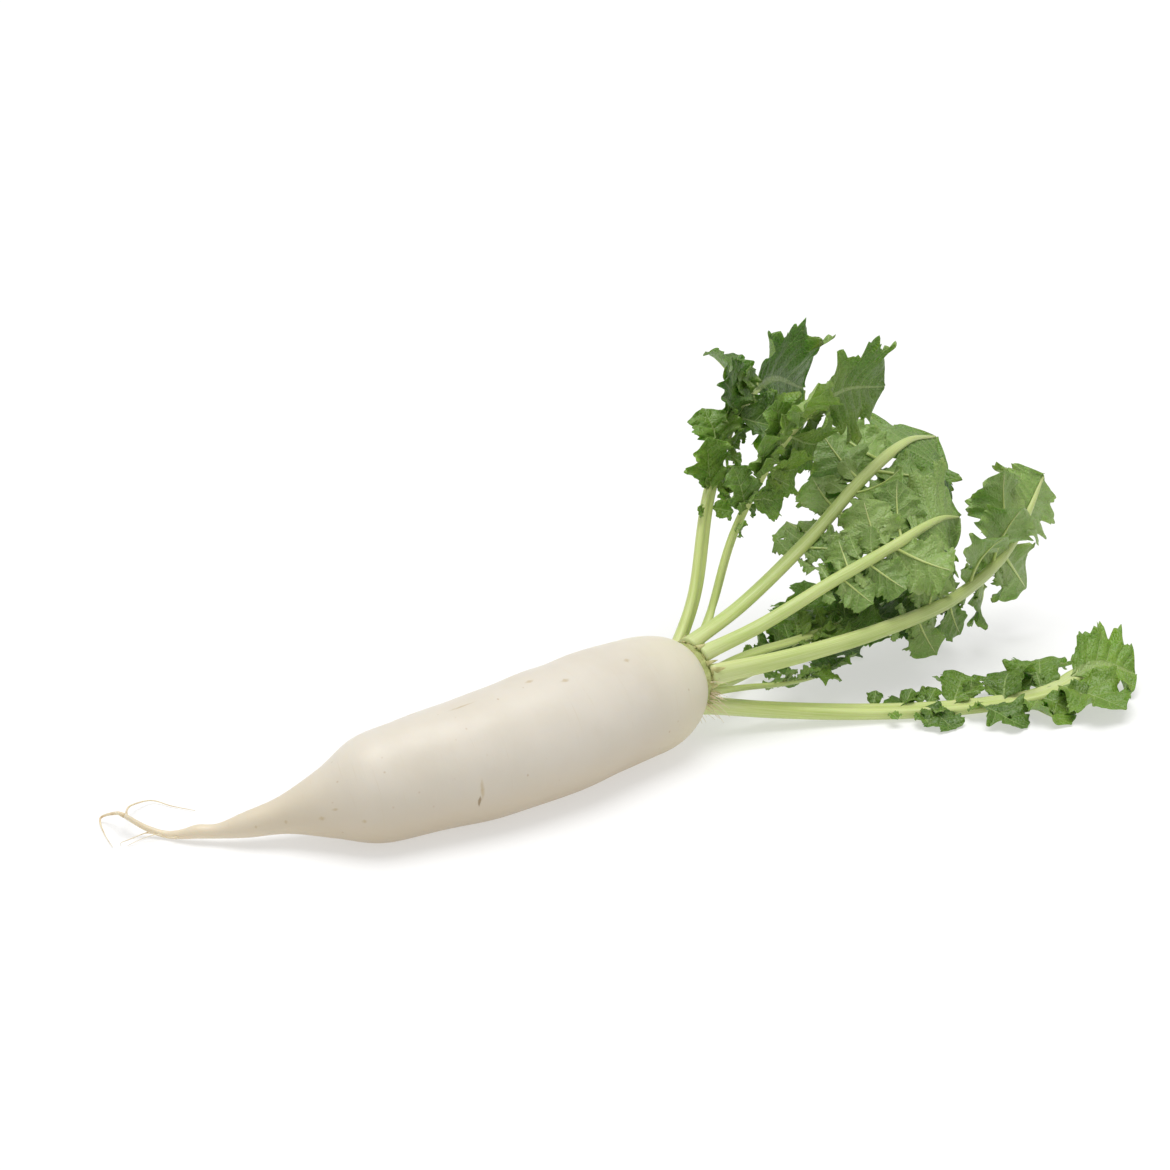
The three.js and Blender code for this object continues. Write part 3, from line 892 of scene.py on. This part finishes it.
def root_material():
    material, tree, shader = new_material("root_skin")
    n = Nodes(tree)
    spot = n.position()
    z = n.split(spot)[2]
    skin = n.attribute("skin").outputs["Vector"]
    along, around_x, around_z = n.split(skin)

    # Cream, tan towards the tail and faintly green at the shoulder, with painted shade: a darker tan
    # underneath, strongest near the floor
    cloud = n.noise(spot, 16.0, 4.0)
    colour = n.mix(n.ramp(cloud, 0.35, 0.7), (0.725, 0.675, 0.585), (0.67, 0.615, 0.515))
    tail = n.ramp(along, 150.0, 25.0)
    tan = n.mix(n.noise(spot, 60.0, 4.0), (0.79, 0.67, 0.45), (0.83, 0.74, 0.56))
    colour = n.mix(n.times(tail, 0.7), colour, tan)
    # Painted shade: the underside turns darker tan towards the floor, less so on the thin tail
    under = n.ramp(n.plus(z, n.times(cloud, 0.012)), 0.056, 0.002)
    painted_shade_share = n.times(under, n.math("MULTIPLY_ADD", tail, -0.7, 0.85))
    colour = n.mix(painted_shade_share, colour, (0.49, 0.395, 0.255))
    shoulder = n.ramp(n.plus(along, n.times(cloud, 20.0)), 300.0, 350.0)
    colour = n.mix(n.times(shoulder, 0.3), colour, (0.74, 0.70, 0.44))

    # Thin lines round the root, and small brown pores
    lines = n.noise(n.stretch((along, around_x, around_z), (0.9, 0.6, 1.0)), 1.0, 5.0, 0.7)
    fine_lines = n.ramp(lines, 0.60, 0.72)
    colour = n.mix(n.times(fine_lines, 0.38), colour, (0.62, 0.52, 0.37))
    dots = n.cells(n.stretch((along, around_x, around_z), (0.16, 4.2, 4.2)), 1.0)
    patches = n.ramp(n.noise(spot, 22.0, 2.0), 0.44, 0.62)
    chosen = n.math("GREATER_THAN", n.split(dots.outputs["Color"])[0], 0.45)
    dot = n.times(n.ramp(dots.outputs["Distance"], 0.13, 0.05), n.times(patches, chosen))
    colour = n.mix(n.times(dot, 0.5), colour, (0.44, 0.28, 0.12))

    # Tan marks and dark scars
    stray = n.times(n.minus(n.noise(spot, 260.0, 3.0), 0.5), MARK_STRAY)
    strayed = n.plus(along, stray)

    def mark(at, around, long, wide, soft):
        """1 inside a narrow pointed mark that lies round the root, and 0 outside it."""
        east, north = math.sin(math.radians(around)), math.cos(math.radians(around))
        aside = n.minus(n.times(around_x, north), n.times(around_z, east))
        facing = n.plus(n.times(around_x, east), n.times(around_z, north))
        off = n.math("DIVIDE", n.math("MULTIPLY_ADD", aside, MARK_RADIUS, stray), long)
        near = n.math("DIVIDE", n.math("ABSOLUTE", n.minus(strayed, at)), wide)
        inside = n.minus(n.minus(1.0, n.times(off, off)), near)
        return n.times(n.ramp(inside, 0.0, soft), n.math("GREATER_THAN", facing, 0.5))

    for at, around, long, wide, _ in TAN_MARKS:
        colour = n.mix(n.times(mark(at, around, long, wide, 1.0), 0.6), colour, (0.50, 0.385, 0.20))
    for at, around, long, wide, _ in ROOT_SCARS:
        colour = n.mix(n.times(mark(at, around, long, wide, 0.7), 0.85), colour, (0.27, 0.18, 0.08))
    n.link(colour, shader.inputs["Base Color"])

    n.link(n.ramp(cloud, 0.3, 0.7, 0.34, 0.46), shader.inputs["Roughness"])
    height = n.plus(n.times(lines, 0.6), n.times(n.noise(spot, 420.0, 3.0), 0.4))
    n.link(n.bump(height, 0.22, 0.0006), shader.inputs["Normal"])
    set_subsurface(shader, 0.22, (1.0, 0.72, 0.42), 0.006)
    shader.inputs["Specular IOR Level"].default_value = 0.45
    return material


def stalk_material():
    material, tree, shader = new_material("leaf_stalk")
    n = Nodes(tree)
    along = n.attribute("along").outputs["Fac"]
    lower = n.attribute("lower").outputs["Fac"]
    around_x = n.attribute("around_x").outputs["Fac"]
    around_z = n.attribute("around_z").outputs["Fac"]
    cloud = n.noise(n.position(), 30.0, 3.0)
    colour = n.mix(n.ramp(cloud, 0.3, 0.7), (0.56, 0.64, 0.21), (0.47, 0.57, 0.155))
    colour = n.mix(n.ramp(along, 0.12, 0.0), colour, (0.62, 0.67, 0.29))
    colour = n.mix(n.times(n.ramp(lower, 0.6, 1.0), 0.3), colour, (0.34, 0.47, 0.12))
    fibres = n.noise(n.stretch((along, around_x, around_z), (10.0, 15.0, 15.0)), 1.0, 3.0)
    colour = n.mix(n.ramp(fibres, 0.35, 0.75, 0.0, 0.6), colour, (0.70, 0.76, 0.40))
    n.link(colour, shader.inputs["Base Color"])
    n.link(n.math("MULTIPLY_ADD", cloud, 0.15, 0.28), shader.inputs["Roughness"])
    n.link(n.bump(fibres, 0.3, 0.0006), shader.inputs["Normal"])
    set_subsurface(shader, 0.25, (0.6, 0.9, 0.3), 0.004)
    return material


def blade_material():
    material, tree, shader = new_material("leaf_blade")
    n = Nodes(tree)
    spot = n.position()
    upper = n.attribute("upper").outputs["Fac"]
    off_rib = n.attribute("off_rib").outputs["Fac"]
    place, c, tone = n.split(n.attribute("pattern").outputs["Vector"])
    width = n.math("ABSOLUTE", c)

    # Green above and paler below, uneven over each blade, with a tone for each leaflet
    cloud = n.noise(spot, 45.0, 4.0)
    green = n.mix(tone, (0.036, 0.092, 0.006), (0.19, 0.32, 0.030))
    green = n.mix(n.ramp(cloud, 0.35, 0.7, 0.0, 0.8), green, (0.10, 0.20, 0.018))
    green = n.mix(n.ramp(n.noise(spot, 16.0, 2.0), 0.5, 0.72, 0.0, 0.5), green, (0.23, 0.34, 0.045))
    pale = n.mix(tone, (0.115, 0.205, 0.034), (0.29, 0.41, 0.115))
    pale = n.mix(n.ramp(cloud, 0.35, 0.7, 0.0, 0.7), pale, (0.20, 0.31, 0.068))
    base = n.mix(upper, pale, green)

    # Pale veins: the middle one, the side veins with their forks, and a fine net
    side_vein = n.vein(place, n.math("MULTIPLY_ADD", width, -0.04, 0.06))
    forked = n.minus(place, n.times(n.linear(width, FORK_START, 1.0), 0.5))
    fork = n.times(n.vein(forked, 0.022), n.linear(width, FORK_START, FORK_START + 0.1))
    mid_vein = n.ramp(off_rib, 1.0, 0.5)
    cell = n.cells(spot, 420.0, "DISTANCE_TO_EDGE").outputs["Distance"]
    net = n.ramp(cell, 0.12, 0.0)
    veins = n.math("MAXIMUM", n.math("MAXIMUM", side_vein, mid_vein), n.times(fork, 0.7))
    drawn = n.math("MAXIMUM", veins, n.times(net, 0.3))
    base = n.mix(n.times(drawn, n.math("MULTIPLY_ADD", upper, -0.15, 0.75)), base, (0.36, 0.47, 0.17))
    n.link(base, shader.inputs["Base Color"])

    n.link(n.math("MULTIPLY_ADD", cloud, 0.2, 0.32), shader.inputs["Roughness"])
    swell = n.times(n.ramp(cell, 0.0, 0.35), 0.7)
    relief = n.minus(n.plus(swell, n.noise(spot, 260.0, 3.0)), n.times(veins, 0.5))
    n.link(n.bump(relief, 0.6, 0.0007), shader.inputs["Normal"])
    set_subsurface(shader, 0.2, (0.5, 1.0, 0.2), 0.002)
    shader.inputs["Specular IOR Level"].default_value = 0.45
    return material


def crown_material():
    material, tree, shader = new_material("crown_skin")
    n = Nodes(tree)
    spot = n.position()
    cloud = n.noise(spot, 130.0, 5.0, 0.65)
    colour = n.mix(n.ramp(cloud, 0.35, 0.65), (0.52, 0.56, 0.22), (0.33, 0.38, 0.11))
    brown = n.ramp(n.noise(spot, 260.0, 4.0), 0.52, 0.66)
    colour = n.mix(n.times(brown, 0.6), colour, (0.30, 0.21, 0.09))
    n.link(colour, shader.inputs["Base Color"])
    shader.inputs["Roughness"].default_value = 0.6
    n.link(n.bump(n.noise(spot, 500.0, 4.0), 0.5, 0.001), shader.inputs["Normal"])
    return material


def fibre_material(name, light, dark):
    material, tree, shader = new_material(name)
    n = Nodes(tree)
    spot = n.position()
    n.link(n.mix(n.ramp(n.noise(spot, 160.0, 3.0), 0.35, 0.65), light, dark), shader.inputs["Base Color"])
    shader.inputs["Roughness"].default_value = 0.6
    n.link(n.bump(n.noise(spot, 1200.0, 2.0), 0.3, 0.0003), shader.inputs["Normal"])
    set_subsurface(shader, 0.2, (1.0, 0.8, 0.5), 0.002)
    return material


def floor_material():
    material, tree, shader = new_material("pale_floor")
    n = Nodes(tree)
    grain = n.noise(n.position(), 3.0, 2.0)
    n.link(n.mix(grain, (0.46, 0.46, 0.46), (0.48, 0.48, 0.48)), shader.inputs["Base Color"])
    shader.inputs["Roughness"].default_value = 0.7
    shader.inputs["Specular IOR Level"].default_value = 0.1
    shader.inputs["Emission Color"].default_value = (1.0, 0.995, 0.985, 1)
    shader.inputs["Emission Strength"].default_value = 0.49
    return material


# Camera, lights and floor
def make_camera():
    data = bpy.data.cameras.new("camera")
    data.lens = LENS
    data.sensor_width = SENSOR
    camera = bpy.data.objects.new("camera", data)
    camera.location = CAMERA_AT
    camera.rotation_euler = Vector(CAMERA_LOOK).to_track_quat("-Z", "Y").to_euler()
    bpy.context.scene.collection.objects.link(camera)
    bpy.context.scene.camera = camera


def make_stage():
    mesh = bpy.data.meshes.new("floor")
    corners = [(x * FLOOR_REACH, y * FLOOR_REACH, 0) for x, y in ((-1, -1), (1, -1), (1, 1), (-1, 1))]
    mesh.from_pydata(corners, [], [(0, 1, 2, 3)])
    mesh.materials.append(floor_material())
    floor = bpy.data.objects.new("floor", mesh)
    bpy.context.scene.collection.objects.link(floor)

    world = bpy.data.worlds.new("soft_white")
    world.use_nodes = True
    background = world.node_tree.nodes["Background"]
    background.inputs["Color"].default_value = (1.0, 1.0, 1.0, 1)
    background.inputs["Strength"].default_value = SKY
    bpy.context.scene.world = world

    data = bpy.data.lights.new("key", "SUN")
    data.energy = KEY_POWER
    data.angle = math.radians(KEY_SPREAD)
    key = bpy.data.objects.new("key", data)
    key.rotation_euler = Vector(KEY_LOOK).to_track_quat("-Z", "Y").to_euler()
    bpy.context.scene.collection.objects.link(key)
    bpy.context.scene.view_settings.view_transform = "Standard"


# The pieces
def root_middle(t):
    return curve([at for at, _ in ROOT_LINE], t)


def root_radius(t):
    return curve([(radius, 0, 0) for _, radius in ROOT_LINE], t)[:, 0]


def make_root(material):
    t = np.linspace(0, 1, ROOT_RINGS)
    centres = root_middle(t)
    along = unit(root_middle(t + RING_REACH) - root_middle(t - RING_REACH))
    radius = root_radius(t)
    shoulder = centres[-1]
    turn = np.linspace(0, math.pi / 2, DOME_RINGS)[1:-1]
    reach = np.sin(turn) ** (2 / DOME_POWER)
    dome = ROOT_END - shoulder
    leaving = unit(centres[-1] - centres[-2])
    swing = leaving * np.linalg.norm(dome) - dome
    beyond = shoulder + np.outer(reach, dome) + np.outer(reach * (1 - reach) ** 2, swing)
    centres = np.vstack([centres, beyond])
    turned = np.minimum(1, reach / DOME_TURN)[:, None]
    turned = turned * turned * (3 - 2 * turned)
    along = np.vstack([along, unit(along[-1] * (1 - turned) + unit(ROOT_END - shoulder) * turned)])
    radius = np.concatenate([radius, radius[-1] * np.cos(turn) ** (2 / DOME_POWER)])
    side = unit(np.cross(along, [0.0, 0.0, 1.0]))
    up = unit(np.cross(side, along))
    length = np.concatenate([[0], np.cumsum(np.linalg.norm(np.diff(centres, axis=0), axis=1))])

    angle = np.linspace(0, math.tau, ROOT_SIDES, endpoint=False)
    across_x, across_z = np.sin(angle)[None], np.cos(angle)[None]
    place = length[:, None]
    stout = np.minimum(1, radius[:, None] / STOUT_RADIUS)
    coarse, fine = LUMP_LENGTHS
    lumps = ripple(place / coarse, across_x * 1.6, 3) + ripple(place / fine, across_z * 2.0, 4)
    rings = ripple(place * 0.9, across_x * 0.25, 5, low=0.5, high=1.6)
    rings = rings * ripple(place / RING_LENGTH, across_z, 6)
    relief = LUMP_HEIGHT * lumps * stout + RING_HEIGHT * rings
    for at, around, long, wide, deep in ROOT_SCARS + TAN_MARKS:
        off = (angle[None] - math.radians(around) + math.pi) % math.tau - math.pi
        off = off * radius[:, None]
        relief = relief - deep * np.exp(-(((place - at) / wide) ** 2) - (off / long) ** 2)
    width = radius[:, None] + np.minimum(relief, RELIEF_LIMIT) - RELIEF_INSET * stout
    points = centres[:, None] + side[:, None] * (width * across_x)[..., None]
    points = points + up[:, None] * (width * across_z)[..., None]
    points[..., 2] = np.maximum(points[..., 2], 0)

    body = Body()
    points = np.vstack([points.reshape(-1, 3), centres[:1], ROOT_END[None]])
    skin = np.stack(np.broadcast_arrays(place, across_x, across_z), axis=-1).reshape(-1, 3)
    skin = np.vstack([skin, [[0, 0, 0], [length[-1], 0, 0]]])
    body.add(points, closed_faces(len(centres), ROOT_SIDES), skin=skin)
    return body.make("root_skin", material)


def make_crown(material):
    turn = np.linspace(0, math.pi / 2, CROWN_RINGS)[:-1]
    reach = np.sin(turn) ** (2 / CROWN_POWER)
    centres = CROWN_BACK + np.outer(reach, CROWN_FRONT - CROWN_BACK)
    radius = CROWN_RADIUS * np.cos(turn) ** (2 / CROWN_POWER)
    along = np.broadcast_to(unit(CROWN_FRONT - CROWN_BACK), centres.shape)
    side = unit(np.cross(along, [0.0, 0.0, 1.0]))
    up = unit(np.cross(side, along))
    angle = np.linspace(0, math.tau, CROWN_SIDES, endpoint=False)
    steps = np.arange(len(turn))[:, None]
    ribs = CROWN_RIB_HEIGHT * np.sin(CROWN_RIBS * angle)[None] * np.minimum(1, steps / 6)
    relief = ribs + CROWN_LUMP * ripple(steps / 3, angle[None] * 6, 8)
    reach_out = radius[:, None] + relief - CROWN_INSET
    body = Body()

    def wide(turn):
        return reach_out * np.sin(turn)[None]

    def deep(turn):
        return reach_out * np.cos(turn)[None]

    tube(body, centres, side, up, wide, deep, CROWN_SIDES)
    return body.make("crown_cap", material)


def make_scales(material):
    """Dry remains of the first leaves: short pointed scales that stand round the crown by the stalks."""
    body = Body()
    s, c = blade_grid(SCALE_GRID)
    for k in range(SCALES):
        d = draws_of(k, SCALE_SEED, SCALE_RANGES)
        turn = math.tau * (k + d["stray"]) / SCALES
        outward = np.array([0, math.cos(turn), math.sin(turn)])
        base = CROWN_FRONT + outward * d["ring"] - np.array([d["depth"], 0, 0])
        lean = unit(np.array([1, 0, 0]) + outward * d["lean"])
        sideways = unit(np.cross(lean, outward))
        normal = np.cross(sideways, lean)
        half = d["half"] * (1 - s**1.4) + SCALE_TIP
        bend = d["bend"] * s**2
        middle = base + lean * (d["length"] * s)[..., None] + sideways * (half * c)[..., None]
        middle = middle + normal * (bend - 0.5 * c * c * half / 2)[..., None]
        add_blade(body, middle, np.broadcast_to(normal, middle.shape), s, c, s, 0.5, 1)
    return body.make("crown_scales", material)


def make_rootlets(material):
    """Two long threads at the tip of the tail, a few hairs along it, and many short ones under the crown."""
    body = Body()
    low = np.array(SOLID_BOX[0]) / MM - (TAIL_ROOM, 0, 0)
    high = np.array(SOLID_BOX[1]) / MM
    along = np.linspace(0, 1, HAIR_POINTS)
    s = along[:, None]

    rod(body, curve(TAIL_THREAD, along), 1.25 * (1 - along) ** 1.5 + 0.15, sides=THREAD_SIDES[0])
    rod(body, curve(LONG_THREAD, along), 0.55 * (1 - along) + 0.15, sides=THREAD_SIDES[1])

    for k in range(TAIL_HAIRS):
        d = draws_of(k, TAIL_HAIR_SEED, TAIL_HAIR_RANGES)
        place = np.array([d["place"]])
        start = root_middle(place)[0]
        way = np.array([math.cos(d["heading"]), math.sin(d["heading"]), 0])
        aside = np.array([-way[1], way[0], 0])
        curl = d["curl"] * s**2 + d["waver"] * np.sin(d["pitch"] * s)
        path = start + way * d["length"] * s + aside * d["length"] * curl
        lift = d["lift"] * np.sin(3.0 * along)
        path[:, 2] = np.maximum(start[2] * (1 - along) ** 1.3 + lift * along, 0.5)
        slim = min(1, root_radius(place)[0] / 1.6)
        rod(body, np.clip(path, low, high), (0.36 - 0.26 * along) * slim, sides=8)

    for k in range(CROWN_HAIRS):
        d = draws_of(k, CROWN_HAIR_SEED, CROWN_HAIR_RANGES)
        turn = math.radians(d["turn"])
        outward = np.array([0, math.cos(turn), math.sin(turn)])
        start = CROWN_FRONT - np.array([d["depth"], 0, 0]) + outward * d["ring"]
        way = unit(np.array([d["forward"], 0, 0]) + outward * d["outward"])
        aside = np.cross(way, outward + np.array([0.3, 0, 0]))
        curl = d["curl"] * s**2
        sag = np.array([0, 0, HAIR_SAG * d["length"]]) * s**2
        path = start + way * d["length"] * s + aside * d["length"] * curl - sag
        rod(body, path, 0.3 - 0.2 * along, sides=6)
    return body.make("rootlets", material)


def make_leaf(leaf, blade_finish, stalk_finish):
    blades, stalk = Body(), Body()
    add_stalk(stalk, leaf)
    for pair in range(leaf["pairs"]):
        for side in (-1, 1):
            add_leaflet(blades, stalk, leaf, pair, side)
    add_lobes(blades, leaf)
    add_end_blade(blades, leaf)
    name = leaf["name"]
    return blades.make(name + "_blades", blade_finish), stalk.make(name + "_stalk", stalk_finish)


make_camera()
make_stage()

stalk_finish = stalk_material()
blade_finish = blade_material()
for leaf in LEAVES:
    blades, stalk = make_leaf(leaf, blade_finish, stalk_finish)
    for piece, slot in ((blades, "leaf_blade"), (stalk, "leaf_stalk")):
        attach(piece, "root")
        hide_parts(leaf["name"])

root = make_root(root_material())
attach(root, "root")
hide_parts("taproot")

crown = make_crown(crown_material())
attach(crown, "root")
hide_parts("crown")

scales = make_scales(fibre_material("dry_scale", (0.55, 0.52, 0.24), (0.36, 0.36, 0.12)))
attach(scales, "root")

rootlets = make_rootlets(fibre_material("rootlet", (0.78, 0.68, 0.48), (0.66, 0.52, 0.32)))
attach(rootlets, "root")
